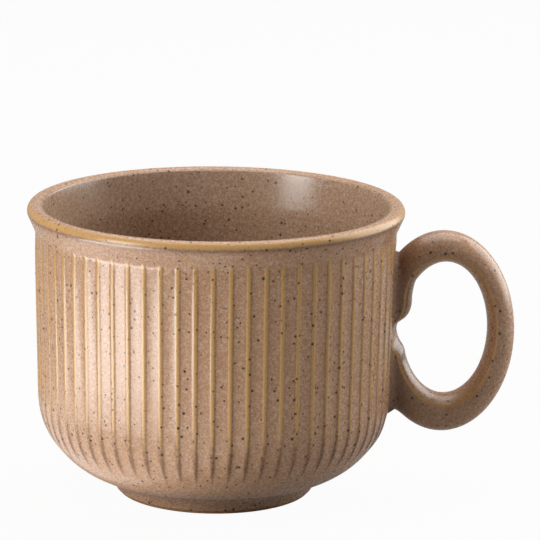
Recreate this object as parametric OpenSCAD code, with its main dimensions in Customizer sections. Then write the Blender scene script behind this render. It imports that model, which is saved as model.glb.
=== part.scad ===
// Stoneware coffee cup with a ribbed wall, a rolled lip and one oval handle.
// The origin is on the cup's axis, on the table. Z is up and the handle points along +X.
// Sizes of the cup and handle are those of the finished glaze, measured between the ribs.

/* [Cup] */
// Height from the table to the crest of the lip
cup_h = 72; // [64:1:96]
// Diameter of the wall at the neck, between the ribs
wall_d = 87.8; // [78:0.2:110]
// Lean of the wall, wider at the top, in degrees
wall_taper = 1.05; // [0:0.05:3]
// Thickness of the finished wall, glaze included
wall_t = 3.1; // [2.4:0.1:4.5]
// Radius of the round belly between the foot and the wall
belly_r = 21.2; // [17:0.1:21.4]
// Thickness of the finished floor
floor_t = 4.2; // [3:0.1:7]
// Radius between the floor and the wall inside
bowl_r = 18; // [13:0.5:19.5]
// Thickness of each coat of glaze
glaze_t = 0.3; // [0.2:0.05:0.45]

/* [Lip] */
// How far the lip stands out from the neck
lip_overhang = 2.1; // [1.4:0.1:4]
// Radius of the rolled lip
lip_r = 1.8; // [1.3:0.1:2.4]
// Lean of the flare under the lip, in degrees
flare_angle = 24; // [16:1:36]
// Radius of the hollow at the neck
neck_r = 3; // [1.5:0.25:6]
// Width of the lip, from its outside to its inner edge
lip_w = 3.7; // [3.2:0.1:4.4]
// Fall of the lip's top towards the inside, in degrees
lip_fall = 20; // [10:1:30]
// Rounding of the lip's inner edge
lip_edge_r = 0.7; // [0.4:0.1:1]
// Lean of the inner wall under the lip, in degrees
mouth_angle = 9; // [6:0.5:14]

/* [Foot] */
// Outer diameter of the foot ring's rounded edge
foot_d = 47.6; // [40:0.2:56]
// Width of the foot ring
foot_w = 4.4; // [3:0.1:7]
// Height of the hollow inside the foot ring
foot_h = 3.8; // [2.5:0.1:5]
// Lean of the outside of the foot ring, in degrees
foot_angle = 22; // [5:1:35]
// Rounding of the foot ring's edges
foot_edge_r = 0.7; // [0.3:0.1:1]
// Height of the bare clay at the bottom of the foot ring
bare_h = 0.9; // [0.4:0.1:1.2]

/* [Ribs] */
// Number of ribs round the wall
rib_n = 66; // [24:1:90]
// Width of a rib at the neck
rib_w = 1.5; // [0.8:0.1:2.2]
// Height of a rib above the glaze
rib_h = 0.45; // [0.3:0.05:0.7]
// Turn of the first rib from the front of the cup, in degrees
rib_turn = 4.7; // [-15:0.1:15]
// Height on the belly where the ribs begin to sink
rib_sink_z = 18; // [14:0.5:20]
// Height on the belly where the ribs have sunk in
rib_end_z = 11.5; // [9:0.1:12.5]

/* [Handle] */
// How far the handle stands out from the wall
handle_reach = 29.5; // [26:0.1:36]
// Height of the handle outside
handle_h = 50.4; // [46:0.2:54]
// Drop from the crest of the lip to the top of the handle
handle_drop = 6.6; // [5.6:0.1:9]
// Width of the oval that the outside of the handle follows
oval_w = 35.2; // [33:0.2:38]
// Width across the grip
grip_w = 10.8; // [8:0.2:14]
// Thickness of the grip at the side
grip_t = 6.7; // [5.5:0.1:8]
// Thickness of the handle at its top
crown_t = 7.6; // [6.5:0.1:9]
// Width of the oval finger hole
hole_w = 20.8; // [19:0.2:22]
// Height of the oval finger hole
hole_h = 33.4; // [30:0.2:35]
// Swell of the handle's inner face towards the finger
grip_swell = 2.1; // [1.5:0.1:2.6]
// How far the spur that ends the upper terminal stands out from the neck
spur_out = 4.3; // [3.6:0.1:5]
// How far the middle of the spur lies inside the neck
spur_bed = 1; // [0.5:0.1:2]
// Height of the oval that the spur is the lower half of
spur_h = 13.4; // [12:0.1:15]
// Height of the spur's middle above the middle of the finger hole
spur_rise = 8.4; // [7.6:0.1:9.2]
// Power that shapes the spur's oval: 1 leaves it an oval, and less makes it squarer
spur_power = 0.72; // [0.6:0.02:1]
// Drop from the middle of the finger hole to the full lower terminal
tip_gap = 5; // [4:0.1:6.5]
// Thickness of the slip between the wall and the handle
slip_t = 1.2; // [1.1:0.1:1.6]

/* [Hidden] */
$fn = 120;
clay = "#8a6a50";
slip = "#9c7d62";
outer_colour = "#c09a78";
liner_colour = "#a5876d";
// Room that a cut takes past the face it opens
past = 1;
// Stations along the loop and its spur, and points across its inner face and its back
loop_n = 36;
spur_n = 8;
face_n = 6;
back_n = 10;
// Share of the full width at the tips of the terminals
tip_share = 0.5;
// Share of the spur's half height above its middle where the loop runs into it
spur_join = 0.5;
// Climb of the spur's sections towards the wall, as a share of their height above its tip
spur_climb = 0.5;

// Directions along the wall and the flare of the profile, and the normals out of the clay
wall_dir = [sin(wall_taper), cos(wall_taper)];
wall_out = [cos(wall_taper), -sin(wall_taper)];
flare_dir = [sin(flare_angle), cos(flare_angle)];
flare_out = [cos(flare_angle), -sin(flare_angle)];
fall_out = [-sin(lip_fall), cos(lip_fall)];
mouth_out = [-cos(mouth_angle), sin(mouth_angle)];
foot_dir = [sin(foot_angle), cos(foot_angle)];
foot_out = [cos(foot_angle), -sin(foot_angle)];

// How far a corner between two faces moves when both faces move out by 1
function corner_shift(a, b) = (a + b) / (1 + a * b);

// Middle of the lip's roll, and the neck, where the flare meets the wall
rim_r = wall_d / 2 + lip_overhang;
lip_mid = [rim_r - lip_r, cup_h - lip_r];
flare_top = lip_mid + lip_r * flare_out;
neck = [wall_d / 2, flare_top.y - (flare_top.x - wall_d / 2) / tan(flare_angle)];
neck_half = (flare_angle - wall_taper) / 2;
function wall_at(z) = neck.x - (neck.y - z) * tan(wall_taper);

// Middles of the belly's and the bowl's rounds, which run into the wall
belly_z = foot_h + belly_r;
belly_mid = [wall_at(belly_z) - belly_r / cos(wall_taper), belly_z];
bowl_floor = foot_h + floor_t;
bowl_z = bowl_floor + bowl_r;
bowl_mid = [wall_at(bowl_z) - (wall_t + bowl_r) / cos(wall_taper), bowl_z];

// Inner corner of the lip, the middle of its rounding, and the corner between mouth and inner wall
fall_top = lip_mid + lip_r * fall_out;
fall_slope = tan(lip_fall);
mouth_top = [rim_r - lip_w, fall_top.y - (fall_top.x - rim_r + lip_w) * fall_slope];
lip_edge_mid = mouth_top - lip_edge_r * corner_shift(fall_out, mouth_out);
inner_top = wall_at(mouth_top.y) - wall_t / cos(wall_taper);
mouth_drop = (mouth_top.x - inner_top) / (tan(mouth_angle) - tan(wall_taper));
mouth_end = mouth_top - mouth_drop * [tan(mouth_angle), 1];

// Foot ring
foot_r = foot_d / 2;
foot_in = foot_r - foot_w;
foot_top = foot_h + foot_edge_r + glaze_t;

// Round that draws the crests down into the belly: the belly's round, moved so that it lies rib_h
// outside the glaze at rib_sink_z and just inside the clay at rib_end_z
sink_a = asin((belly_z - rib_sink_z) / belly_r);
end_a = asin((belly_z - rib_end_z) / belly_r);
sink_shift = [rib_h * sin(end_a) + glaze_t * sin(sink_a), rib_h * cos(end_a) + glaze_t * cos(sink_a)]
  / sin(end_a - sink_a);
rib_root = wall_t / 4;
rib_rise = 2 * (rib_h + glaze_t) / tan(flare_angle);

// Ovals of the handle and the spur: middles and half sizes
handle_top = cup_h - handle_drop;
handle_x = wall_d / 2 + handle_reach;
oval_half = [oval_w / 2, handle_h / 2];
oval_mid = [handle_x - oval_half.x, handle_top - oval_half.y];
hole_half = [hole_w / 2, hole_h / 2];
hole_mid = [handle_x - grip_t - hole_half.x, handle_top - crown_t - hole_half.y];
spur_half = [spur_out + spur_bed, spur_h / 2];
spur_mid = [neck.x - spur_bed, hole_mid.y + spur_rise];
grip_half = grip_w / 2;
slip_out = slip_t - glaze_t;
// Half height and half angle of the plain wall that the handle is luted to
seat_half = rib_w + oval_half.y * sqrt(1 - pow((oval_mid.x - neck.x) / oval_half.x, 2));
seat_spread = asin((grip_half + rib_w) / neck.x);
function on_oval(mid, half, a) = mid + [half.x * cos(a), half.y * sin(a)];
// The spur's outline, from its nose at 0 degrees down to its tip at 90
function on_spur(a) =
  spur_mid + [spur_half.x * pow(cos(a), spur_power), -spur_half.y * pow(sin(a), spur_power)];

// Stations of the loop: a point on its inner outline, one on its outer outline or inside the wall,
// and the share of the full width
bed = neck.x - wall_t - slip_t;
spur_tip = spur_mid.y - spur_half.y;
// The lower terminal is full once its inner outline is both tip_gap down and clear of the neck
hole_clear = min(1, (hole_mid.x - neck.x) / hole_half.x);
tip_drop = max(tip_gap, hole_half.y * sqrt(1 - pow(hole_clear, 2)));
loop_start = -180 + asin(tip_drop / hole_half.y);
loop_end = 180 - asin((spur_rise + spur_join * spur_half.y) / hole_half.y);
low_tip = [[neck.x, hole_mid.y - tip_drop + tip_gap / 2], [bed, hole_mid.y - tip_drop], tip_share];
loop_stations = [for (i = [0 : loop_n]) let (a = loop_start + (loop_end - loop_start) * i / loop_n)
  [on_oval(hole_mid, hole_half, a), on_oval(oval_mid, oval_half, a), 1]];
spur_stations = [for (i = [0 : spur_n])
  let (a = 90 * i / spur_n, p = on_spur(a))
  [p, [bed, p.y + spur_climb * (p.y - spur_tip)], tip_share + (1 - tip_share) * sqrt(cos(a))]];
stations = concat([low_tip], loop_stations, spur_stations);

// Cup without its foot, filled, with its surface moved out by g
module cup_outline(g) {
  corner = neck + g * corner_shift(wall_out, flare_out);
  hollow_r = neck_r - g;
  run = hollow_r * tan(neck_half);
  wall_end = corner - run * wall_dir;
  fall_start = fall_top + g * fall_out;
  difference() {
    polygon([
      [0, foot_h - g],
      [belly_mid.x, foot_h - g],
      belly_mid,
      belly_mid + (belly_r + g) * wall_out,
      wall_end,
      corner + run * flare_dir,
      flare_top + g * flare_out,
      lip_mid,
      fall_start,
      [0, fall_start.y - fall_start.x * fall_slope]
    ]);
    translate(wall_end + hollow_r * wall_out) circle(hollow_r);
  }
  translate(belly_mid) circle(belly_r + g);
  translate(lip_mid) circle(lip_r + g);
}

// Foot ring with its outside moved out by g
module foot_outline(g) {
  outer = [foot_r - foot_edge_r, foot_edge_r];
  inner = [foot_in + foot_edge_r, foot_edge_r];
  side = outer + (foot_edge_r + g) * foot_out;
  rise = (foot_top - side.y) / foot_dir.y;
  polygon([
    [inner.x, 0],
    [outer.x, 0],
    outer,
    side,
    side + rise * foot_dir,
    [foot_in, foot_top],
    [foot_in, inner.y],
    inner
  ]);
  translate(outer) circle(foot_edge_r + g);
  translate(inner) circle(foot_edge_r);
}

// Space inside the cup, open at the top, with the wall's surface moved in by g
module bowl_outline(g) {
  lip_edge = lip_edge_r + g;
  over_lip = lip_edge_mid + (lip_edge + past) * fall_out;
  difference() {
    union() {
      polygon([
        [0, bowl_floor + g],
        [bowl_mid.x, bowl_floor + g],
        bowl_mid,
        bowl_mid + (bowl_r - g) * wall_out,
        mouth_end + g * corner_shift(-wall_out, mouth_out),
        lip_edge_mid + lip_edge * mouth_out,
        lip_edge_mid + lip_edge * fall_out,
        over_lip,
        [0, over_lip.y]
      ]);
      translate(bowl_mid) circle(bowl_r - g);
    }
    translate(lip_edge_mid) circle(lip_edge);
  }
}

// Section of a rib: its crest runs down the wall and round the belly until it sinks.
// Behind the handle it stops short of the terminals, which are luted to the plain wall.
module crest_outline(behind_handle) {
  difference() {
    intersection() {
      union() {
        polygon([
          belly_mid,
          belly_mid + (belly_r + rib_h) * wall_out,
          neck + rib_h * wall_out + rib_rise * wall_dir,
          neck + [-wall_t / 2, rib_rise]
        ]);
        translate(belly_mid) circle(belly_r + rib_h);
      }
      union() {
        translate(belly_mid + sink_shift) circle(belly_r);
        translate([0, belly_z]) square([rim_r, cup_h]);
      }
    }
    cup_outline(-glaze_t - rib_root);
    if (behind_handle) {
      translate([0, oval_mid.y - seat_half]) square([rim_r, 2 * seat_half]);
    }
  }
}

module right_of_axis() {
  intersection() {
    children();
    translate([0, -past]) square([rim_r + past, cup_h + 2 * past]);
  }
}

// Filled cup with its surface moved out by g
module cup_solid(g) {
  rotate_extrude() right_of_axis() cup_outline(g);
}

// Ribs, each turned through its own width
module ribs() {
  spread = 2 * asin(rib_w / 2 / neck.x);
  for (i = [0 : rib_n - 1]) {
    turn = rib_turn - 90 + i * 360 / rib_n;
    rotate(turn - spread / 2)
      rotate_extrude(angle = spread)
        right_of_axis() crest_outline(cos(turn) > cos(seat_spread));
  }
}

// Section of the loop at one station, its surface moved out by g: the swollen inner face, then the round back
function section(station, g) =
  let (
    axis = (station[1] - station[0]) / norm(station[1] - station[0]),
    inner = station[0] - g * axis,
    depth = norm(station[1] - station[0]) + 2 * g,
    half = grip_half * station[2] + g,
    front = [for (j = [0 : face_n]) let (v = 2 * j / face_n - 1) [grip_swell * v * v, v]],
    back = [for (j = [1 : back_n - 1]) let (a = 180 * j / back_n)
      [grip_swell + (depth - grip_swell) * sin(a), cos(a)]]
  )
  [for (p = concat(front, back)) [inner.x + axis.x * p[0], half * p[1], inner.y + axis.y * p[0]]];

// Whole loop of the handle, run on into the wall, with its surface moved out by g
module loop(g) {
  rings = [for (s = stations) section(s, g)];
  m = face_n + back_n;
  last = len(rings) - 1;
  polyhedron(
    points = [for (ring = rings) each ring],
    faces = concat(
      [[for (j = [m - 1 : -1 : 0]) j]],
      [for (i = [0 : last - 1]) for (j = [0 : m - 1])
        each [
          [i * m + j, (i + 1) * m + (j + 1) % m, (i + 1) * m + j],
          [i * m + j, i * m + (j + 1) % m, (i + 1) * m + (j + 1) % m]
        ]],
      [[for (j = [0 : m - 1]) last * m + j]]
    )
  );
}

// Slip between the wall and the loop, on one side of the bare gap
module slip_pad(low, high) {
  color(slip)
    difference() {
      intersection() {
        loop(-glaze_t);
        cup_solid(slip_out);
        translate([0, -grip_w, low]) cube([handle_x, 2 * grip_w, high - low]);
      }
      cup_solid(-glaze_t);
    }
}

module cup_body() {
  color(clay)
    difference() {
      union() {
        cup_solid(-glaze_t);
        rotate_extrude() foot_outline(0);
        ribs();
      }
      rotate_extrude() right_of_axis() bowl_outline(-glaze_t);
    }
}

module handle() {
  color(clay)
    difference() {
      loop(-glaze_t);
      cup_solid(slip_out);
    }
}

module upper_handle_slip() {
  slip_pad(hole_mid.y, cup_h);
}

module lower_handle_slip() {
  slip_pad(0, hole_mid.y);
}

module liner_glaze() {
  color(liner_colour)
    rotate_extrude() difference() {
      intersection() {
        cup_outline(0);
        right_of_axis() bowl_outline(-glaze_t);
      }
      bowl_outline(0);
    }
}

module outer_glaze() {
  color(outer_colour)
    difference() {
      rotate_extrude() right_of_axis() difference() {
        union() {
          cup_outline(0);
          foot_outline(glaze_t);
        }
        cup_outline(-glaze_t);
        foot_outline(0);
        bowl_outline(-glaze_t);
        translate([0, -past]) square([rim_r, past + bare_h]);
        square([foot_in, foot_top]);
      }
      ribs();
      loop(-glaze_t);
    }
}

module base_glaze() {
  color(outer_colour)
    translate([0, 0, foot_h])
      cylinder(h = glaze_t, r = foot_in);
}

module handle_glaze() {
  color(outer_colour)
    difference() {
      loop(0);
      loop(-glaze_t);
      cup_solid(0);
    }
}

cup_body();
handle();
upper_handle_slip();
lower_handle_slip();
liner_glaze();
outer_glaze();
base_glaze();
handle_glaze();
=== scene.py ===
from math import asin, cos, pi, radians, sin, sqrt, tan

import bpy
import numpy as np
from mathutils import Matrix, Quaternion, Vector


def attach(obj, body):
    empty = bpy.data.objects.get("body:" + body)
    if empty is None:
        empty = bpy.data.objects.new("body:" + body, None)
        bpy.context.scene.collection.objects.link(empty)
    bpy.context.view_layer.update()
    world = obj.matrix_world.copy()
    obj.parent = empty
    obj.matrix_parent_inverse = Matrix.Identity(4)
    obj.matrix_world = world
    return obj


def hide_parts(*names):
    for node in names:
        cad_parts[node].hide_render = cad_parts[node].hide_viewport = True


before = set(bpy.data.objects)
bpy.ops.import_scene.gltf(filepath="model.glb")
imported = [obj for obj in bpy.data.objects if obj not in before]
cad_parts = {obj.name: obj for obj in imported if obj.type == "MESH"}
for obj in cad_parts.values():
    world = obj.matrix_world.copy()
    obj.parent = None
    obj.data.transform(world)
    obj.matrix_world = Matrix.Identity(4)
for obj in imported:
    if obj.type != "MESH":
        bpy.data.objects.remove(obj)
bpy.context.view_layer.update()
scene = bpy.context.scene
scene.view_settings.view_transform = "Standard"
mm = 0.001
print("frame loaded:", len(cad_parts), "nodes")


def linear(hexColour):  # sRGB hex to the linear colour that shaders take
    parts = [int(hexColour[i:i + 2], 16) / 255 for i in (1, 3, 5)]
    shades = [c / 12.92 if c <= 0.04045 else ((c + 0.055) / 1.055) ** 2.4 for c in parts]
    return (*shades, 1.0)


def addNode(tree, kind, inputs=None, **settings):  # adds a node, its settings, values and links
    node = tree.nodes.new(kind)
    for name, value in settings.items():
        setattr(node, name, value)
    for key, value in (inputs or {}).items():
        if isinstance(value, bpy.types.NodeSocket):
            tree.links.new(value, node.inputs[key])
        else:
            node.inputs[key].default_value = value
    return node


# Camera: stands where the photograph was taken, a little above the rim, with a long lens
cameraView = {
    "place": (0.0, -0.8494, 0.2513), "target": (0.01325, 0.0, 0.05518), "roll": 0.644,
    "lens": 237.72, "sensor": 36.0, "clipEnd": 20.0,
}

cameraData = bpy.data.cameras.new("camera")
cameraData.lens = cameraView["lens"]
cameraData.sensor_width = cameraView["sensor"]
cameraData.clip_end = cameraView["clipEnd"]
camera = bpy.data.objects.new("camera", cameraData)
scene.collection.objects.link(camera)
camera.location = cameraView["place"]
sight = Vector(cameraView["target"]) - Vector(cameraView["place"])
roll = Quaternion((0, 0, 1), radians(cameraView["roll"]))
camera.rotation_mode = "QUATERNION"
camera.rotation_quaternion = sight.to_track_quat("-Z", "Y") @ roll
scene.camera = camera

# Profile of the cup in mm and degrees, as the solids have it: finished glaze, between the ribs
cup = {
    "height": 72.0, "wallRadius": 43.9, "taper": 1.05, "wall": 3.1, "glaze": 0.3,
    "bellyRadius": 21.2, "bowlRadius": 18.0, "floor": 4.2,
    "flare": 24.0, "neckRadius": 3.0, "lipOut": 2.1, "lipRadius": 1.8, "lipWidth": 3.7,
    "lipFall": 20.0, "lipEdge": 0.7, "mouth": 9.0, "mouthSoft": 1.5,
    "footRadius": 23.8, "footWidth": 4.4, "footHeight": 3.8, "footLean": 22.0,
    "footEdge": 0.7, "footSoft": 2.8, "bare": 0.9,
    "fineRows": 1.2, "columns": 180,
}
# How finely each stretch of the profile is cut
cuts = {
    "footSide": 3, "footBend": 6, "belly": 32, "wall": 12, "ribTop": 6, "neck": 10,
    "flareFoot": 9, "flare": 3, "lip": 14, "lipFall": 3, "lipEdge": 8, "mouth": 5,
    "mouthBend": 6, "innerWall": 14, "bowl": 28, "floor": 10, "backing": 5,
    "hollow": 4, "ringSide": 3, "ringEdge": 6, "baseBend": 6,
}


def heading(angle):  # unit vector in the profile plane, in degrees from the outward direction
    return np.array([cos(radians(angle)), sin(radians(angle))])


def cornerShift(a, b):  # how a corner between two faces moves when both move out by 1
    return (a + b) / (1 + a @ b)


wallOut = heading(-cup["taper"])
wallUp = heading(90 - cup["taper"])
wallSlope = tan(radians(cup["taper"]))
flareOut = heading(-cup["flare"])
flareUp = heading(90 - cup["flare"])
fallOut = heading(90 + cup["lipFall"])
mouthOut = heading(180 - cup["mouth"])
mouthDown = heading(270 - cup["mouth"])
mouthSlope = tan(radians(cup["mouth"]))
footOut = heading(-cup["footLean"])
footUp = heading(90 - cup["footLean"])
rimRadius = cup["wallRadius"] + cup["lipOut"]
lipMid = np.array([rimRadius - cup["lipRadius"], cup["height"] - cup["lipRadius"]])
flareTop = lipMid + cup["lipRadius"] * flareOut
flareDrop = (flareTop[0] - cup["wallRadius"]) / tan(radians(cup["flare"]))
neck = np.array([cup["wallRadius"], flareTop[1] - flareDrop])


def wallAt(z):  # radius of the finished wall
    return neck[0] - (neck[1] - z) * wallSlope


bellyHeight = cup["footHeight"] + cup["bellyRadius"]
bellyMid = np.array([wallAt(bellyHeight) - cup["bellyRadius"] / wallOut[0], bellyHeight])
bowlFloor = cup["footHeight"] + cup["floor"]
bowlHeight = bowlFloor + cup["bowlRadius"]
bowlIn = (cup["wall"] + cup["bowlRadius"]) / wallOut[0]
bowlMid = np.array([wallAt(bowlHeight) - bowlIn, bowlHeight])
fallTop = lipMid + cup["lipRadius"] * fallOut
mouthX = rimRadius - cup["lipWidth"]
mouthTop = np.array([mouthX, fallTop[1] - (fallTop[0] - mouthX) * tan(radians(cup["lipFall"]))])
lipEdgeMid = mouthTop - cup["lipEdge"] * cornerShift(fallOut, mouthOut)
innerTop = wallAt(mouthTop[1]) - cup["wall"] / wallOut[0]
mouthDrop = (mouthTop[0] - innerTop) / (mouthSlope - wallSlope)
mouthEnd = mouthTop - mouthDrop * np.array([mouthSlope, 1])
footIn = cup["footRadius"] - cup["footWidth"]
footCorner = np.array([cup["footRadius"] - cup["footEdge"], cup["footEdge"]])


def arc(mid, radius, start, end, count):
    return [mid + radius * heading(a) for a in np.linspace(start, end, count)]


def line(a, b, count):  # points after a, up to b
    return [a + (b - a) * k / count for k in range(1, count + 1)]


def softCorner(a, corner, b, count):  # curve that rounds a corner, from a to b
    ts = np.linspace(0, 1, count)
    return [(1 - t) ** 2 * a + 2 * t * (1 - t) * corner + t * t * b for t in ts]


def outerPath(g):  # outside of the cup, from the bare foot to the lip's inner edge, moved out by g
    side = footCorner + (cup["footEdge"] + cup["glaze"] + g) * footOut
    start = side + (cup["bare"] - side[1]) / footUp[1] * footUp
    radius = cup["bellyRadius"] + g
    gap = start - bellyMid
    along = -gap @ footUp - sqrt((gap @ footUp) ** 2 - gap @ gap + radius ** 2)
    corner = start + along * footUp  # where the foot's side meets the belly
    cornerAngle = np.degrees(np.arctan2(*(corner - bellyMid)[::-1]))
    arcStart = cornerAngle + np.degrees(cup["footSoft"] / radius)
    sideEnd = corner - cup["footSoft"] * footUp
    points = [start] + line(start, sideEnd, cuts["footSide"])[:-1]
    points += softCorner(sideEnd, corner, bellyMid + radius * heading(arcStart), cuts["footBend"])
    points += arc(bellyMid, radius, arcStart, -cup["taper"], cuts["belly"])[1:]
    bend = neck + g * cornerShift(wallOut, flareOut)
    hollow = cup["neckRadius"] - g
    wallEnd = bend - hollow * tan(radians((cup["flare"] - cup["taper"]) / 2)) * wallUp
    hollowMid = wallEnd + hollow * wallOut
    points += line(points[-1], wallEnd - cup["fineRows"] * wallUp, cuts["wall"])
    points += line(points[-1], wallEnd, cuts["ribTop"])  # close rows, for the ribs' pointed tops
    points += arc(hollowMid, hollow, 180 - cup["taper"], 180 - cup["flare"], cuts["neck"])[1:]
    points += line(points[-1], points[-1] + cup["fineRows"] * flareUp, cuts["flareFoot"])
    points += line(points[-1], flareTop + g * flareOut, cuts["flare"])
    lipRadius = cup["lipRadius"] + g
    points += arc(lipMid, lipRadius, -cup["flare"], 90 + cup["lipFall"], cuts["lip"])[1:]
    points += line(points[-1], lipEdgeMid + (cup["lipEdge"] + g) * fallOut, cuts["lipFall"])
    return np.array(points)


def innerPath(g):  # inside of the cup, from the lip's inner edge to the floor's middle, moved by g
    edge = cup["lipEdge"] + g
    bend = mouthEnd + g * cornerShift(-wallOut, mouthOut)
    above = bend - cup["mouthSoft"] * mouthDown
    bowl = cup["bowlRadius"] - g
    points = arc(lipEdgeMid, edge, 90 + cup["lipFall"], 180 - cup["mouth"], cuts["lipEdge"])
    points += line(points[-1], above, cuts["mouth"])
    points += softCorner(above, bend, bend - cup["mouthSoft"] * wallUp, cuts["mouthBend"])[1:]
    points += line(points[-1], bowlMid + bowl * wallOut, cuts["innerWall"])
    points += arc(bowlMid, bowl, -cup["taper"], -90, cuts["bowl"])[1:]
    points += line(points[-1], np.array([0.0, bowlFloor + g]), cuts["floor"])
    return np.array(points)


def storeValues(mesh, name, values):  # one number for each point of a mesh
    attribute = mesh.attributes.new(name, "FLOAT", "POINT")
    attribute.data.foreach_set("value", np.array(values, np.float32))


def spunMesh(name, profile, angles, attributes=None):  # turns a closed profile about the cup's axis
    columns = len(angles)
    turn = np.array([np.cos(angles), np.sin(angles)]).T
    rows, points, values = [], [], {key: [] for key in (attributes or {})}
    for index, (radius, z) in enumerate(profile):
        first = len(points)
        if radius < 1e-6:  # on the axis
            points.append((0.0, 0.0, z * mm))
            rows.append([first] * columns)
        else:
            points.extend((radius * mm * c, radius * mm * s, z * mm) for c, s in turn)
            rows.append(list(range(first, first + columns)))
        for key in values:
            values[key].extend([attributes[key][index]] * (len(points) - first))
    faces = []
    for low, high in zip(rows, rows[1:] + rows[:1]):
        for j in range(columns):
            k = (j + 1) % columns
            corner = [low[j], low[k], high[k], high[j]]
            face = [v for n, v in enumerate(corner) if v != corner[n - 1]]
            if len(face) > 2:
                faces.append(face)
    mesh = bpy.data.meshes.new(name)
    mesh.from_pydata(points, [], faces)
    for key, column in values.items():
        storeValues(mesh, key, column)
    mesh.shade_smooth()
    return mesh


def addPiece(name, mesh, material, nodes):  # a piece of the cup that stands for solids
    piece = bpy.data.objects.new(name, mesh)
    scene.collection.objects.link(piece)
    mesh.materials.clear()
    mesh.materials.append(material)
    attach(piece, "root")
    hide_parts(*nodes)
    return piece


# How the melting coat runs: lengths in mm, and shares of the coat
glazeFlow = {
    "spread": 0.5, "gain": 1.3, "gather": 0.8, "most": 0.72,
    "level": -0.1, "upright": 0.3, "crest": 1.02, "fade": 0.3,
}


def glazeRun(path):  # how far a coat runs off convex edges, and gathers under them, 0 to 1
    step = np.diff(path, axis=0)
    length = np.linalg.norm(step, axis=1)
    angle = np.unwrap(np.arctan2(step[:, 1], step[:, 0]))
    bend = np.zeros(len(path))
    bend[1:-1] = np.diff(angle) / (0.5 * (length[1:] + length[:-1]))
    place = np.concatenate([[0], np.cumsum(length)])
    apart = place[:, None] - place[None, :]
    near = np.exp(-(apart / glazeFlow["spread"]) ** 2) * np.gradient(place)[None, :]
    facesUp = -np.gradient(path[:, 0], place)
    onTop = np.clip((facesUp - glazeFlow["level"]) / glazeFlow["upright"], 0, 1)
    onTop *= np.clip((glazeFlow["crest"] - facesUp) / glazeFlow["fade"], 0, 1)
    run = (near @ bend) / near.sum(axis=1) * glazeFlow["gain"]
    thin = np.clip(run, 0, glazeFlow["most"]) * onTop
    pool = np.clip(np.interp(place + glazeFlow["gather"], place, thin) - thin, 0, 1)
    return thin, pool


# Stoneware: sanded clay fired without a glaze, matt and gritty, seen only on the foot
clayGrit = {
    "detail": 4.0, "low": 0.3, "high": 0.7, "bump": 0.5, "bumpDepth": 0.1, "roughness": 0.85,
}
bareLook = {**clayGrit, "grain": 0.5, "dark": "#8a5f3e", "light": "#b98a5e"}
slipLook = {**clayGrit, "grain": 0.3, "dark": "#94714f", "light": "#b08d6b"}


def stonewareClay(name, look):
    material = bpy.data.materials.new(name)
    material.use_nodes = True
    tree = material.node_tree
    shader = tree.nodes["Principled BSDF"]
    coord = addNode(tree, "ShaderNodeTexCoord").outputs["Object"]
    grain = addNode(tree, "ShaderNodeTexNoise", {
        "Vector": coord, "Scale": 1 / (look["grain"] * mm), "Detail": look["detail"]})
    ramp = addNode(tree, "ShaderNodeValToRGB", {"Fac": grain.outputs["Fac"]})
    for stop, place, shade in zip(ramp.color_ramp.elements, ("low", "high"), ("dark", "light")):
        stop.position = look[place]
        stop.color = linear(look[shade])
    bump = addNode(tree, "ShaderNodeBump", {
        "Height": grain.outputs["Fac"], "Strength": look["bump"],
        "Distance": look["bumpDepth"] * mm})
    tree.links.new(ramp.outputs["Color"], shader.inputs["Base Color"])
    tree.links.new(bump.outputs["Normal"], shader.inputs["Normal"])
    shader.inputs["Roughness"].default_value = look["roughness"]
    return material


# Satin reactive glaze: fine mottling where it melts, ochre where it runs thin on edges,
# brown where it pools and as painted shade beside the ribs and round the handle's root,
# and iron specks that come up from the clay
glazeMelt = {
    "mottle": 0.6, "mottleDetail": 2.0, "mottleRough": 0.55, "mottleTwist": 0.8,
    "cloudDetail": 2.0, "cloudLow": 0.35, "cloudHigh": 0.65, "cloudShare": 0.3,
    "edgeWander": 0.5, "edgeLow": 0.6, "edgeHigh": 0.95,
    "specks": [(1.7, 0.32, 1.0), (0.95, 0.15, 0.65)],  # spacing, radius, strength
    "speckSpread": 1.3, "speckLeast": 0.35, "speckCore": 0.55, "iron": "#3d2c20",
    "roughness": 0.27, "roughSwing": 0.06, "roughLow": 0.3, "roughHigh": 0.7,
    "bump": 0.15, "bumpDepth": 0.05,
}
outerLook = {
    **glazeMelt, "cloud": 14.0, "tint": "#aa8462", "gloss": 0.4,
    # pool: thick gathered glaze, also used as painted shade beside the ribs and in the handle's
    # root hollow
    "thin": "#bb915a", "pool": "#70503a",
    "field": [(0.36, "#a67f60"), (0.45, "#b08668"), (0.52, "#b58e70"), (0.6, "#ba997f"),
              (0.68, "#c0a791")],
}
linerLook = {
    **glazeMelt, "cloud": 18.0, "tint": "#93795c", "gloss": 0.55,
    "thin": "#c8a174", "pool": "#75563b",
    "field": [(0.36, "#97755d"), (0.45, "#9f7e65"), (0.52, "#a5876e"), (0.6, "#a9907a"),
              (0.68, "#af9a86")],
}
mixUnder, mixOver, mixed = 6, 7, 2  # a colour Mix node's two inputs and its output


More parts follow.
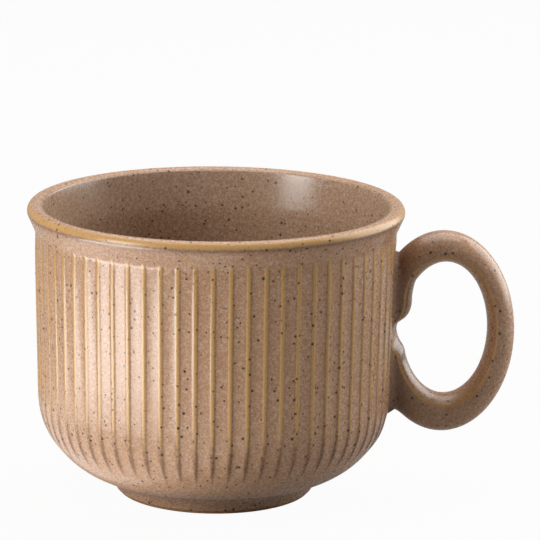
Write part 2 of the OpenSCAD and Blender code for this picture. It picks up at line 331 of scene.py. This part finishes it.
def satinGlaze(name, look):
    material = bpy.data.materials.new(name)
    material.use_nodes = True
    tree = material.node_tree
    shader = tree.nodes["Principled BSDF"]
    coord = addNode(tree, "ShaderNodeTexCoord").outputs["Object"]
    mottle = addNode(tree, "ShaderNodeTexNoise", {
        "Vector": coord, "Scale": 1 / (look["mottle"] * mm), "Detail": look["mottleDetail"],
        "Roughness": look["mottleRough"], "Distortion": look["mottleTwist"]}).outputs["Fac"]
    cloud = addNode(tree, "ShaderNodeTexNoise", {
        "Vector": coord, "Scale": 1 / (look["cloud"] * mm), "Detail": look["cloudDetail"]})
    field = addNode(tree, "ShaderNodeValToRGB", {"Fac": mottle})
    stops = field.color_ramp.elements
    for place, colour in look["field"]:
        stop = stops[0] if place == look["field"][0][0] else stops.new(place)
        stop.position = place
        stop.color = linear(colour)
    stops.remove(stops[len(stops) - 1])
    # broad warm clouds
    warm = addNode(tree, "ShaderNodeMapRange", {
        "Value": cloud.outputs["Fac"], "From Min": look["cloudLow"],
        "From Max": look["cloudHigh"], "To Max": look["cloudShare"]})
    tinted = addNode(tree, "ShaderNodeMix", {
        "Factor": warm.outputs["Result"], mixUnder: field.outputs["Color"],
        mixOver: linear(look["tint"])}, data_type="RGBA")
    # thick glaze, where it gathers under edges, and painted shade beside the ribs and in the
    # handle's root hollow
    pool = addNode(tree, "ShaderNodeAttribute", attribute_name="glazePoolAndShade")
    poolShadeMixed = addNode(tree, "ShaderNodeMix", {
        "Factor": pool.outputs["Fac"], mixUnder: tinted.outputs[mixed],
        mixOver: linear(look["pool"])}, data_type="RGBA")
    # thin glaze on the convex edges, with an edge that wanders
    thin = addNode(tree, "ShaderNodeAttribute", attribute_name="glazeThin")
    wander = addNode(tree, "ShaderNodeMath", {
        0: mottle, 1: look["edgeWander"], 2: thin.outputs["Fac"]}, operation="MULTIPLY_ADD")
    edge = addNode(tree, "ShaderNodeMapRange", {
        "Value": wander.outputs["Value"], "From Min": look["edgeLow"],
        "From Max": look["edgeHigh"]}, interpolation_type="SMOOTHSTEP")
    worn = addNode(tree, "ShaderNodeMix", {
        "Factor": edge.outputs["Result"], mixUnder: poolShadeMixed.outputs[mixed],
        mixOver: linear(look["thin"])}, data_type="RGBA")
    # specks: grains of iron, each a ball that the surface cuts, in a large and a small size
    colour = worn.outputs[mixed]
    for cell, size, strength in look["specks"]:
        grains = addNode(tree, "ShaderNodeTexVoronoi", {"Vector": coord, "Scale": 1 / (cell * mm)})
        spread = addNode(tree, "ShaderNodeMath", {
            0: grains.outputs["Color"], 1: look["speckSpread"], 2: look["speckLeast"]},
            operation="MULTIPLY_ADD")
        away = addNode(tree, "ShaderNodeMath", {
            0: grains.outputs["Distance"], 1: spread.outputs[0]}, operation="DIVIDE")
        speck = addNode(tree, "ShaderNodeMapRange", {
            "Value": away.outputs[0], "From Min": size / cell,
            "From Max": look["speckCore"] * size / cell, "To Max": strength},
            interpolation_type="SMOOTHSTEP")
        speckled = addNode(tree, "ShaderNodeMix", {
            "Factor": speck.outputs["Result"], mixUnder: colour,
            mixOver: linear(look["iron"])}, data_type="RGBA")
        colour = speckled.outputs[mixed]
    # the melt leaves the satin a little uneven
    rough = addNode(tree, "ShaderNodeMapRange", {
        "Value": mottle, "From Min": look["roughLow"], "From Max": look["roughHigh"],
        "To Min": look["roughness"] - look["roughSwing"],
        "To Max": look["roughness"] + look["roughSwing"]})
    bump = addNode(tree, "ShaderNodeBump", {
        "Height": mottle, "Strength": look["bump"], "Distance": look["bumpDepth"] * mm})
    tree.links.new(colour, shader.inputs["Base Color"])
    tree.links.new(rough.outputs["Result"], shader.inputs["Roughness"])
    tree.links.new(bump.outputs["Normal"], shader.inputs["Normal"])
    shader.inputs["Specular IOR Level"].default_value = look["gloss"]
    return material


bareClay = stonewareClay("bare stoneware clay", bareLook)
firedSlip = stonewareClay("fired slip", slipLook)
outerGlaze = satinGlaze("satin reactive glaze", outerLook)
innerGlaze = satinGlaze("satin reactive liner glaze", linerLook)
print("materials made")

# Outer coat of glaze: a closed skin, whose ribs a node tree raises; lengths in mm
ribs = {
    "count": 66, "turn": 4.7, "base": 1.4, "crown": 0.62, "height": 0.13, "reach": 0.45,
    "lipGap": 1.8, "sinkHeight": 18.0, "endHeight": 10.8, "endPower": 0.4,
    "flute": 0.21, "round": 0.26, "fluteFade": 7.0, "sway": 0.35, "swayLength": 5.0,
    # shade sets the two darker lines beside each rib, which are partly gathered glaze and partly
    # painted shade
    "shade": 0.4, "poolShadeReach": 1.5, "ochreHeight": 38.0, "brownHeight": 15.0, "brownShare": 0.58,
    "seatWidth": 7.7, "seatLow": 15.0, "seatHigh": 60.3, "seatFade": 0.4,
    # where points lie across a rib and the flute after it
    "spread": (-1.45, -0.95, -0.66, -0.45, -0.22, 0.0, 0.22, 0.45, 0.66, 0.95, 1.45, 2.09),
}
pitch = 2 * pi / ribs["count"]
firstRib = radians(ribs["turn"] - 90)
ribAngles = np.array([
    firstRib + pitch * i + s / neck[0] for i in range(ribs["count"]) for s in ribs["spread"]])
plainAngles = np.linspace(0, 2 * pi, cup["columns"], endpoint=False)

outside = outerPath(0.0)
backing = outerPath(-cup["glaze"])[::-1]
backing = backing[sorted(set(range(0, len(backing), cuts["backing"])) | {len(backing) - 1})]
behind = np.zeros(len(backing))
thin, pool = glazeRun(outside)
coatMesh = spunMesh("outerGlaze", np.concatenate([outside, backing]), ribAngles, {
    "glazeThin": np.concatenate([thin, behind]),
    "glazePoolAndShade": np.concatenate([pool, behind]),
    "onFace": np.concatenate([np.ones(len(outside)), behind]),
})

# How a rib is raised: each line is a result, an operation and its terms
ribSteps = [
    # distance across a rib from its middle line, measured at the neck; the edge wanders a little
    ("step", "DIVIDE", 2 * pi, "Rib Count"),
    ("angle", "ARCTAN2", "Y", "X"),
    ("turned", "SUBTRACT", "angle", "Rib Turn"),
    ("turns", "DIVIDE", "turned", "step"),
    ("ahead", "ADD", "turns", 0.5),
    ("part", "FRACT", "ahead"),
    ("centred", "SUBTRACT", "part", 0.5),
    ("share", "ABSOLUTE", "centred"),
    ("arc", "MULTIPLY", "share", "step"),
    ("plain", "MULTIPLY", "arc", "Neck Radius"),
    ("lean", "SUBTRACT", "noise", 0.5),
    ("wander", "MULTIPLY_ADD", "lean", "Rib Sway", 1.0),
    ("across", "MULTIPLY", "plain", "wander"),
    # the rib dies where the flare overtakes its crest
    ("xx", "MULTIPLY", "X", "X"),
    ("radiusSquare", "MULTIPLY_ADD", "Y", "Y", "xx"),
    ("radius", "SQRT", "radiusSquare"),
    ("down", "SUBTRACT", "Neck Height", "Z"),
    ("drawnIn", "MULTIPLY", "down", "Wall Slope"),
    ("wallLine", "SUBTRACT", "Neck Radius", "drawnIn"),
    ("over", "SUBTRACT", "radius", "wallLine"),
    ("flareOver", "MAXIMUM", "over", 0.0),
    ("left", "SUBTRACT", "Rib Reach", "flareOver"),
    ("kept", "MAXIMUM", "left", 0.0),
    ("riseShare", "DIVIDE", "kept", "Rib Reach"),
    ("underLip", "LESS_THAN", "Z", "Lip Start"),
    ("rise", "MULTIPLY", "riseShare", "underLip"),
    # and sinks to a point on the belly
    ("sink", "EASE", "Z", "End Height", "Sink Height"),
    ("pointUp", "SQRT", "rise"),
    ("pointDown", "POWER", "sink", "End Power"),
    ("width", "MULTIPLY", "pointUp", "pointDown"),
    ("halfBase", "MULTIPLY", "Rib Base", 0.5),
    ("halfCrown", "MULTIPLY", "Rib Crown", 0.5),
    ("footAt", "MULTIPLY", "halfBase", "width"),
    ("crownAt", "MULTIPLY", "halfCrown", "width"),
    ("bump", "EASE", "across", "footAt", "crownAt"),
    # its flanks run down in a shallow flute to the middle between two ribs
    ("softSquare", "MULTIPLY", "Rib Round", "Rib Round"),
    ("acrossSquare", "MULTIPLY_ADD", "plain", "plain", "softSquare"),
    ("acrossSoft", "SQRT", "acrossSquare"),
    ("downFlank", "SUBTRACT", "acrossSoft", "Rib Round"),
    ("halfStep", "MULTIPLY", "step", 0.5),
    ("fluteHalf", "MULTIPLY", "halfStep", "Neck Radius"),
    ("fluteShare", "DIVIDE", "downFlank", "fluteHalf"),
    ("fluteLeft", "SUBTRACT", 1.0, "fluteShare"),
    ("fluteOpen", "MAXIMUM", "fluteLeft", 0.0),
    ("flute", "MULTIPLY", "fluteOpen", "fluteOpen"),
    # the wall is wiped smooth where the handle is luted on
    ("aside", "ABSOLUTE", "Y"),
    ("seatEdge", "ADD", "Seat Width", "Seat Fade"),
    ("seatSide", "EASE", "aside", "seatEdge", "Seat Width"),
    ("seatFoot", "SUBTRACT", "Seat Low", "Seat Fade"),
    ("seatAbove", "EASE", "Z", "seatFoot", "Seat Low"),
    ("seatHead", "ADD", "Seat High", "Seat Fade"),
    ("seatBelow", "EASE", "Z", "seatHead", "Seat High"),
    ("handleSide", "GREATER_THAN", "X", 0.0),
    ("seatAcross", "MULTIPLY", "seatSide", "handleSide"),
    ("seatUpright", "MULTIPLY", "seatAbove", "seatBelow"),
    ("seat", "MULTIPLY", "seatAcross", "seatUpright"),
    ("open", "SUBTRACT", 1.0, "seat"),
    ("keep", "MULTIPLY", "open", "onFace"),
    # height of rib and flute together
    ("tall", "MULTIPLY", "rise", "sink"),
    ("shown", "MULTIPLY", "tall", "keep"),
    ("crest", "MULTIPLY", "bump", "shown"),
    ("ribLift", "MULTIPLY", "crest", "Rib Height"),
    ("fluteStart", "SUBTRACT", "Neck Height", "Flute Fade"),
    ("fluteIn", "EASE", "Z", "Neck Height", "fluteStart"),
    ("fluteShown", "MULTIPLY", "fluteIn", "sink"),
    ("fluteKept", "MULTIPLY", "fluteShown", "keep"),
    ("ridge", "MULTIPLY", "flute", "fluteKept"),
    ("lift", "MULTIPLY_ADD", "ridge", "Flute Depth", "ribLift"),
    # the coat is thin and ochre on the crests, and browner lower down
    ("pointed", "MULTIPLY", "bump", "width"),
    ("ochre", "MULTIPLY", "pointed", "keep"),
    ("low", "EASE", "Z", "Ochre Height", "Brown Height"),
    ("brown", "MULTIPLY", "ochre", "low"),
    ("ochreLost", "MULTIPLY", "brown", "Brown Share"),
    ("ochreLeft", "SUBTRACT", "ochre", "ochreLost"),
    ("thin", "MAXIMUM", "glazeThin", "ochreLeft"),
    # two darker lines beside each rib: glaze that gathers there, and painted shade at the rib's
    # foot
    ("besideAt", "MULTIPLY", "halfBase", "Pool Shade Reach"),
    ("beside", "EASE", "across", "besideAt", "halfBase"),
    ("flank", "SUBTRACT", 1.0, "bump"),
    ("lines", "MULTIPLY", "beside", "flank"),
    ("shaded", "MULTIPLY", "lines", "Rib Shade"),
    ("poolAndShadeLines", "MULTIPLY", "shaded", "shown"),
    ("darker", "MAXIMUM", "poolAndShadeLines", "brown"),
    ("pool", "MAXIMUM", "glazePoolAndShade", "darker"),
]


def ribTree():
    tree = bpy.data.node_groups.new("raise ribs", "GeometryNodeTree")
    lengths = {
        "Rib Base": ribs["base"], "Rib Crown": ribs["crown"], "Rib Height": ribs["height"],
        "Rib Reach": ribs["reach"], "Rib Round": ribs["round"],
        "Flute Depth": ribs["flute"], "Flute Fade": ribs["fluteFade"],
        "Ochre Height": ribs["ochreHeight"], "Brown Height": ribs["brownHeight"],
        "Sink Height": ribs["sinkHeight"], "End Height": ribs["endHeight"],
        "Neck Radius": neck[0], "Neck Height": neck[1], "Lip Start": neck[1] + ribs["lipGap"],
        "Seat Width": ribs["seatWidth"], "Seat Fade": ribs["seatFade"],
        "Seat Low": ribs["seatLow"], "Seat High": ribs["seatHigh"],
    }
    sizes = {
        **{name: length * mm for name, length in lengths.items()},
        "Rib Turn": firstRib, "Rib Sway": ribs["sway"], "Rib Shade": ribs["shade"],
        "Sway Scale": 1 / (ribs["swayLength"] * mm), "Wall Slope": wallSlope,
        "Brown Share": ribs["brownShare"], "End Power": ribs["endPower"],
        "Pool Shade Reach": ribs["poolShadeReach"],
    }
    kinds = {"Geometry": "NodeSocketGeometry", **dict.fromkeys(sizes, "NodeSocketFloat"),
             "Rib Count": "NodeSocketInt", "Material": "NodeSocketMaterial"}
    keys = {}
    for name, kind in kinds.items():
        socket = tree.interface.new_socket(name, in_out="INPUT", socket_type=kind)
        keys[name] = socket.identifier
    tree.interface.new_socket("Geometry", in_out="OUTPUT", socket_type="NodeSocketGeometry")
    given = addNode(tree, "NodeGroupInput").outputs
    spot = addNode(tree, "GeometryNodeInputPosition").outputs[0]
    place = addNode(tree, "ShaderNodeSeparateXYZ", {0: spot}).outputs
    results = {name: given[name] for name in (*sizes, "Rib Count")}
    results.update({axis: place[axis] for axis in "XYZ"})
    results["noise"] = addNode(tree, "ShaderNodeTexNoise", {
        "Vector": spot, "Scale": given["Sway Scale"], "Detail": 1.0}).outputs["Fac"]
    for name in ("onFace", "glazeThin", "glazePoolAndShade"):
        stored = addNode(tree, "GeometryNodeInputNamedAttribute", {"Name": name}, data_type="FLOAT")
        results[name] = stored.outputs["Attribute"]
    for name, operation, *terms in ribSteps:
        sockets = [results.get(term, term) for term in terms]
        if operation == "EASE":  # from 0 to 1 between two values, with soft ends
            inputs = dict(zip(("Value", "From Min", "From Max"), sockets))
            node = addNode(tree, "ShaderNodeMapRange", inputs, interpolation_type="SMOOTHSTEP")
        else:
            node = addNode(tree, "ShaderNodeMath", dict(enumerate(sockets)), operation=operation)
        results[name] = node.outputs[0]
    coat = given["Geometry"]
    for name, result in (("glazeThin", "thin"), ("glazePoolAndShade", "pool")):
        coat = addNode(tree, "GeometryNodeStoreNamedAttribute", {
            "Geometry": coat, "Name": name, "Value": results[result]},
            data_type="FLOAT", domain="POINT").outputs[0]
    outward = addNode(tree, "GeometryNodeInputNormal").outputs[0]
    lift = addNode(tree, "ShaderNodeVectorMath", {
        0: outward, "Scale": results["lift"]}, operation="SCALE").outputs[0]
    coat = addNode(tree, "GeometryNodeSetPosition", {"Geometry": coat, "Offset": lift}).outputs[0]
    coat = addNode(tree, "GeometryNodeRealizeInstances", {0: coat}).outputs[0]
    coat = addNode(tree, "GeometryNodeSetMaterial", {
        "Geometry": coat, "Material": given["Material"]}).outputs[0]
    addNode(tree, "NodeGroupOutput", {0: coat})
    return tree, sizes, keys


tree, sizes, keys = ribTree()
raw = bpy.data.objects.new("coatRaw", coatMesh)
scene.collection.objects.link(raw)
modifier = raw.modifiers.new("raise ribs", "NODES")
modifier.node_group = tree
for name, value in sizes.items():
    modifier[keys[name]] = float(value)
modifier[keys["Rib Count"]] = ribs["count"]
modifier[keys["Material"]] = outerGlaze
bpy.context.view_layer.update()
evaluated = raw.evaluated_get(bpy.context.evaluated_depsgraph_get())
ribbedMesh = bpy.data.meshes.new_from_object(evaluated)
raw.modifiers.remove(modifier)
bpy.data.objects.remove(raw)
ribbedMesh.name = "outerGlaze"
addPiece("outerGlaze", ribbedMesh, outerGlaze, ["outer_glaze"])
print("outer coat:", len(ribbedMesh.polygons), "faces")

# Liner: the coat inside, from the lip's inner edge to the floor
linerBack = innerPath(-cup["glaze"])[::-1]
linerMesh = spunMesh("linerGlaze", np.concatenate([innerPath(0.0), linerBack]), plainAngles)
addPiece("linerGlaze", linerMesh, innerGlaze, ["liner_glaze"])

# Clay: the bowl under the coats, bare on the bottom of its foot ring
footInner = np.array([footIn + cup["footEdge"], cup["footEdge"]])
clayFloor = cup["footHeight"] + cup["glaze"]
clayMiddle = np.array([0.0, clayFloor])
clayLoop = [clayMiddle] + line(clayMiddle, np.array([footIn, clayFloor]), cuts["hollow"])
clayLoop += line(clayLoop[-1], np.array([footIn, cup["footEdge"]]), cuts["ringSide"])
clayLoop += arc(footInner, cup["footEdge"], 180, 270, cuts["ringEdge"])[1:]
clayLoop += arc(footCorner, cup["footEdge"], -90, -cup["footLean"], cuts["ringEdge"])
clayLoop += list(outerPath(-cup["glaze"])) + list(innerPath(-cup["glaze"])[1:])
clayMesh = spunMesh("clayBody", np.array(clayLoop), plainAngles)
addPiece("clayBody", clayMesh, bareClay, ["cup_body"])

# Base coat: glaze under the floor, drawn a little down the foot ring where it meets it; in mm
base = {"bendIn": 1.2, "bendDown": 1.0, "bendGap": 0.05}
baseLow = cup["footHeight"]
baseMiddle = np.array([0.0, baseLow])
bendStart = np.array([footIn - base["bendIn"], baseLow])
bendCorner = np.array([footIn - base["bendGap"], baseLow])
bendEnd = np.array([footIn, baseLow - base["bendDown"]])
baseLoop = [baseMiddle] + line(baseMiddle, bendStart, cuts["hollow"])
baseLoop += softCorner(bendStart, bendCorner, bendEnd, cuts["baseBend"])[1:]
baseLoop += [np.array([footIn, clayFloor]), clayMiddle]
baseMesh = spunMesh("baseGlaze", np.array(baseLoop), plainAngles)
addPiece("baseGlaze", baseMesh, outerGlaze, ["base_glaze"])
print("bowl made")

# Handle: sections along the loop, from the tip of the lower terminal to the spur of the upper one
handle = {
    "reach": 29.5, "height": 50.4, "drop": 6.6, "ovalWidth": 35.2,
    "gripWidth": 10.8, "gripDepth": 6.7, "crownDepth": 7.6, "swell": 2.1, "bed": 4.3,
    "holeWidth": 20.8, "holeHeight": 33.4, "tipGap": 5.0, "tipShare": 0.5,
    "spurOut": 4.3, "spurBed": 1.0, "spurHeight": 13.4, "spurRise": 8.4, "spurPower": 0.72,
    "spurEnd": 75.0, "spurJoin": 0.5, "spurClimb": 0.5,
    "stations": 36, "spurStations": 8, "between": 5, "leastGap": 0.2,
    "acrossFace": 18, "roundBack": 36, "soften": 2, "halvings": 18, "buried": 1.2,
    # off the wall, above the hole's middle, share of the width
    "valley": [(0.6, 0.3, 0.6), (0.75, -1.1, 0.62), (1.6, -2.9, 0.75)],
    # height, reach of the hollow that runs into the wall
    "blend": [(16.0, 5.0), (24.0, 3.2), (54.0, 2.4), (60.5, 1.2)],
    # the root entries set a darker band in the hollow off the wall: pooled glaze and painted shade
    "creaseWidth": 0.28, "creaseThin": 1.0, "faceThin": 0.4, "rootWidth": 2.0, "rootPoolAndShade": 0.8,
}


def loopStations():  # inner point, outer point and share of the width, from the valley to the spur
    top = cup["height"] - handle["drop"]
    farX = neck[0] + handle["reach"]
    ovalHalf = np.array([handle["ovalWidth"], handle["height"]]) / 2
    ovalMid = np.array([farX - ovalHalf[0], top - ovalHalf[1]])
    holeHalf = np.array([handle["holeWidth"], handle["holeHeight"]]) / 2
    holeEnd = np.array([farX - handle["gripDepth"], top - handle["crownDepth"]])
    holeMid = holeEnd - holeHalf
    spurHalf = np.array([handle["spurOut"] + handle["spurBed"], handle["spurHeight"] / 2])
    spurMid = np.array([neck[0] - handle["spurBed"], holeMid[1] + handle["spurRise"]])
    spurTip = spurMid[1] - spurHalf[1]
    spurTop = handle["spurRise"] + handle["spurJoin"] * spurHalf[1]
    bedX = neck[0] - handle["bed"]
    start = -180 + np.degrees(asin(handle["tipGap"] / holeHalf[1]))
    end = 180 - np.degrees(asin(spurTop / holeHalf[1]))
    rows = []
    for off, above, share in handle["valley"]:
        z = holeMid[1] + above
        rows.append([wallAt(z) + off, z, bedX, z, share])
    for a in np.linspace(start, end, handle["stations"] + 1):
        rows.append([*(holeMid + holeHalf * heading(a)), *(ovalMid + ovalHalf * heading(a)), 1.0])
    for a in np.radians(np.linspace(0, handle["spurEnd"], handle["spurStations"] + 1)):
        p = spurMid + spurHalf * [cos(a) ** handle["spurPower"], -sin(a) ** handle["spurPower"]]
        share = handle["tipShare"] + (1 - handle["tipShare"]) * sqrt(cos(a))
        rows.append([*p, bedX, p[1] + handle["spurClimb"] * (p[1] - spurTip), share])
    return np.array(rows)


def smoothRows(rows, between):  # a smooth closed run through the stations, with sections between
    ahead = np.roll(rows, -1, axis=0)
    gap = np.maximum(np.linalg.norm((ahead - rows)[:, :2], axis=1), handle["leastGap"])
    slope = (ahead - np.roll(rows, 1, axis=0)) / (gap + np.roll(gap, 1))[:, None]
    out = []
    for i in range(len(rows)):
        k = (i + 1) % len(rows)
        for t in np.arange(between) / between:
            out.append((2 * t ** 3 - 3 * t ** 2 + 1) * rows[i]
                       + (t ** 3 - 2 * t ** 2 + t) * gap[i] * slope[i]
                       + (3 * t ** 2 - 2 * t ** 3) * rows[k]
                       + (t ** 3 - t ** 2) * gap[i] * slope[k])
    return np.array(out)


def sectionShape():  # round a section: shares of the swell, the depth behind it and half the width
    v = np.linspace(-1, 1, handle["acrossFace"] + 1)[1:-1]
    a = np.radians(np.linspace(0, 180, handle["roundBack"] + 1))[1:-1]
    face = np.array([v * v, 0 * v, v]).T
    back = np.array([1 + 0 * a, np.sin(a), np.cos(a)]).T
    return np.concatenate([face, [[1.0, 0.0, 1.0]], back, [[1.0, 0.0, -1.0]]])


def handleGrid():  # every section's points in mm, and how thin the coat runs there
    rows = smoothRows(loopStations(), handle["between"])
    shape = sectionShape()
    inner, outer = rows[:, 0:2], rows[:, 2:4]
    span = outer - inner
    depth = np.linalg.norm(span, axis=1)
    axis = span / depth[:, None]
    swell = handle["swell"]
    into = swell * shape[None, :, 0] + (depth[:, None] - swell) * shape[None, :, 1]
    flat = inner[:, None, :] + axis[:, None, :] * into[:, :, None]
    across = handle["gripWidth"] / 2 * rows[:, None, 4] * shape[None, :, 2]
    grid = np.stack([flat[:, :, 0], across, flat[:, :, 1]], axis=2)
    crease = np.isclose(np.abs(shape[:, 2]), 1.0)
    beside = crease | np.roll(crease, 1) | np.roll(crease, -1)
    for lap in range(handle["soften"]):  # rounds the creases a little, and nothing else
        mean = (np.roll(grid, 1, axis=1) + np.roll(grid, -1, axis=1)) / 2
        grid[:, beside] = (grid[:, beside] + mean[:, beside]) / 2
    creases = np.flatnonzero(crease)
    away = np.min([np.linalg.norm(grid - grid[:, c:c + 1], axis=2) for c in creases], axis=0)
    onCrease = np.exp(-(away / handle["creaseWidth"]) ** 2)
    onFace = (shape[None, :, 1] == 0) & (away > 0)
    return grid, np.maximum(handle["creaseThin"] * onCrease, handle["faceThin"] * onFace)


def gridNormals(grid):
    along = np.roll(grid, -1, axis=0) - np.roll(grid, 1, axis=0)
    around = np.roll(grid, -1, axis=1) - np.roll(grid, 1, axis=1)
    normal = np.cross(around, along)
    return normal / np.maximum(np.linalg.norm(normal, axis=2, keepdims=True), 1e-9)


def wallDistance(points):  # distance from the finished wall in mm, less than nothing inside it
    flat = np.stack([np.hypot(points[:, 0], points[:, 1]), points[:, 2]], axis=1)
    a, step = outside[:-1], np.diff(outside, axis=0)
    gap = flat[:, None, :] - a[None]
    t = np.clip((gap * step[None]).sum(2) / (step ** 2).sum(1)[None], 0, 1)
    off = gap - t[:, :, None] * step[None]
    far = np.linalg.norm(off, axis=2)
    best = far.argmin(axis=1)
    pick = np.arange(len(flat))
    turnSign = step[best, 0] * gap[pick, best, 1] - step[best, 1] * gap[pick, best, 0]
    return np.where(turnSign < 0, far[pick, best], -far[pick, best])


def blendIntoWall(grid, normal):  # moves the skin out near the wall, to join it in a soft hollow
    points, out = grid.reshape(-1, 3), normal.reshape(-1, 3)
    reach = np.interp(points[:, 2], *np.array(handle["blend"]).T)
    low, high = np.zeros(len(points)), reach.copy()
    for lap in range(handle["halvings"]):
        t = (low + high) / 2
        b = wallDistance(points + t[:, None] * out)
        h = np.maximum(reach - np.abs(t - b), 0) / reach
        inside = np.minimum(t, b) - h * h * reach / 4 < 0
        low, high = np.where(inside, t, low), np.where(inside, high, t)
    return (points + high[:, None] * out).reshape(grid.shape)


def keepInWall(grid, depth):  # brings what lies deep in the wall out to one depth below its face
    radius = np.hypot(grid[:, :, 0], grid[:, :, 1])
    least = wallAt(grid[:, :, 2]) - depth
    pull = np.maximum(1, least / radius)[:, :, None]
    return grid * np.concatenate([pull, pull, np.ones_like(pull)], axis=2)


grid, crease = handleGrid()
normal = gridNormals(grid)
if ((grid - grid.mean(axis=1, keepdims=True)) * normal).sum() < 0:
    normal = -normal
skin = keepInWall(blendIntoWall(grid, normal), handle["buried"]).reshape(-1, 3)
under = keepInWall(grid - cup["glaze"] * normal, handle["buried"] + cup["glaze"]).reshape(-1, 3)
index = np.arange(len(skin)).reshape(grid.shape[:2])
ahead = np.roll(index, -1, axis=0)
quads = np.stack([index, ahead, np.roll(ahead, -1, axis=1), np.roll(index, -1, axis=1)], axis=2)
quads = quads.reshape(-1, 4)
quads = np.concatenate([quads, len(skin) + quads[:, ::-1]])
offWall = np.maximum(wallDistance(skin), 0) / handle["rootWidth"]
root = handle["rootPoolAndShade"] * offWall * np.exp(1 - offWall)  # glaze gathers in the hollow, off the wall, and the hollow's shade is painted in as well
handleMesh = bpy.data.meshes.new("handleGlaze")
handleMesh.from_pydata((np.concatenate([skin, under]) * mm).tolist(), [], quads.tolist())
for name, values in (("glazeThin", crease.reshape(-1)), ("glazePoolAndShade", root)):
    storeValues(handleMesh, name, np.concatenate([values, np.zeros(len(under))]))
handleMesh.shade_smooth()
addPiece("handleGlaze", handleMesh, outerGlaze, ["handle_glaze"])
print("handle made:", len(handleMesh.polygons), "faces")

# Clay and slip under the handle's coat stay as the solids have them
kept = {"handle": bareClay, "upper_handle_slip": firedSlip, "lower_handle_slip": firedSlip}
for name, material in kept.items():
    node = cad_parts[name]
    node.data.materials.clear()
    node.data.materials.append(material)

# Floor: plain paper, seen as white by the camera, with a trace of the cup's shadow
stage = {
    "size": 4.0, "paper": "#9a9895", "paperRoughness": 0.9, "shadowShare": 0.04,
    "floorMirrored": 0.12, "mirrored": 0.35, "ambient": 0.02,
}
bpy.ops.mesh.primitive_plane_add(size=stage["size"])
floor = bpy.context.object
floor.name = "floor"
floorPaper = bpy.data.materials.new("white paper")
floorPaper.use_nodes = True
paperTree = floorPaper.node_tree
paper = paperTree.nodes["Principled BSDF"]
paper.inputs["Base Color"].default_value = linear(stage["paper"])
paper.inputs["Roughness"].default_value = stage["paperRoughness"]
rays = addNode(paperTree, "ShaderNodeLightPath").outputs
seen = addNode(paperTree, "ShaderNodeMath", {
    0: rays["Is Camera Ray"], 1: rays["Is Transmission Ray"]}, operation="MAXIMUM")
seen = addNode(paperTree, "ShaderNodeMath", {
    0: rays["Is Glossy Ray"], 1: stage["floorMirrored"], 2: seen.outputs[0]},
    operation="MULTIPLY_ADD")
share = addNode(paperTree, "ShaderNodeMath", {
    0: seen.outputs[0], 1: 1 - stage["shadowShare"]}, operation="MULTIPLY")
white = addNode(paperTree, "ShaderNodeEmission", {"Color": (1, 1, 1, 1), "Strength": 1.0})
paperMix = addNode(paperTree, "ShaderNodeMixShader", {
    0: share.outputs[0], 1: paper.outputs[0], 2: white.outputs[0]})
paperTree.links.new(paperMix.outputs[0], paperTree.nodes["Material Output"].inputs["Surface"])
floor.data.materials.append(floorPaper)

# World: white to the eye, a dim white room in reflections and weaker still as a light
world = bpy.data.worlds.new("studio")
scene.world = world
world.use_nodes = True
worldTree = world.node_tree
background = worldTree.nodes["Background"]
rays = addNode(worldTree, "ShaderNodeLightPath").outputs
seen = addNode(worldTree, "ShaderNodeMath", {
    0: rays["Is Camera Ray"], 1: rays["Is Transmission Ray"]}, operation="MAXIMUM")
level = addNode(worldTree, "ShaderNodeMapRange", {
    "Value": seen.outputs[0], "To Min": stage["ambient"], "To Max": 1.0})
level = addNode(worldTree, "ShaderNodeMath", {
    0: rays["Is Glossy Ray"], 1: stage["mirrored"], 2: level.outputs["Result"]},
    operation="MULTIPLY_ADD")
background.inputs["Color"].default_value = (1, 1, 1, 1)
worldTree.links.new(level.outputs[0], background.inputs["Strength"])

# Lights: a tall softbox on the left and weaker ones round the cup. Three lamps that face up are the
# bright table on the left: tableBounce lights the belly, and the wall only mirrors the two cards
lampAim = Vector((0, 0, 0.036))  # middle of the cup
softboxes = {
    "leftSoftbox": {"place": (-0.67, -0.41, 0.30), "size": (0.3, 0.55), "power": 6.0},
    "topSoftbox": {"place": (0.0, 0.22, 0.9), "size": (0.9, 0.9), "power": 7.8},
    "rightSoftbox": {"place": (0.75, 0.35, 0.40), "size": (0.9, 0.9), "power": 9.9},
    "frontFill": {"place": (0.55, -0.70, 0.80), "size": (1.2, 1.2), "power": 1.1},
    "tableBounce": {
        "place": (-0.062, -0.047, 0.001), "size": (0.09, 0.2), "power": 0.056,
        "up": True, "turn": -36},
    "tableCard": {
        "place": (-0.193, -0.121, 0.002), "size": (0.2, 0.15), "power": 1.2,
        "up": True, "turn": -32, "mirror": True},
    "nearCard": {
        "place": (-0.094, -0.059, 0.002), "size": (0.035, 0.12), "power": 0.025,
        "up": True, "turn": -32, "mirror": True},
}
for name, box in softboxes.items():
    lampData = bpy.data.lights.new(name, "AREA")
    lampData.shape = "RECTANGLE"
    lampData.size, lampData.size_y = box["size"]
    lampData.energy = box["power"]
    lamp = bpy.data.objects.new(name, lampData)
    scene.collection.objects.link(lamp)
    lamp.location = box["place"]
    lamp.rotation_mode = "QUATERNION"
    beam = Vector((0, 0, 1)) if "up" in box else lampAim - lamp.location
    turn = Quaternion((0, 0, 1), radians(box.get("turn", 0)))
    lamp.rotation_quaternion = beam.to_track_quat("-Z", "Y") @ turn
    lamp.visible_camera = False
    lamp.visible_diffuse = "mirror" not in box
print("stage and lights made")
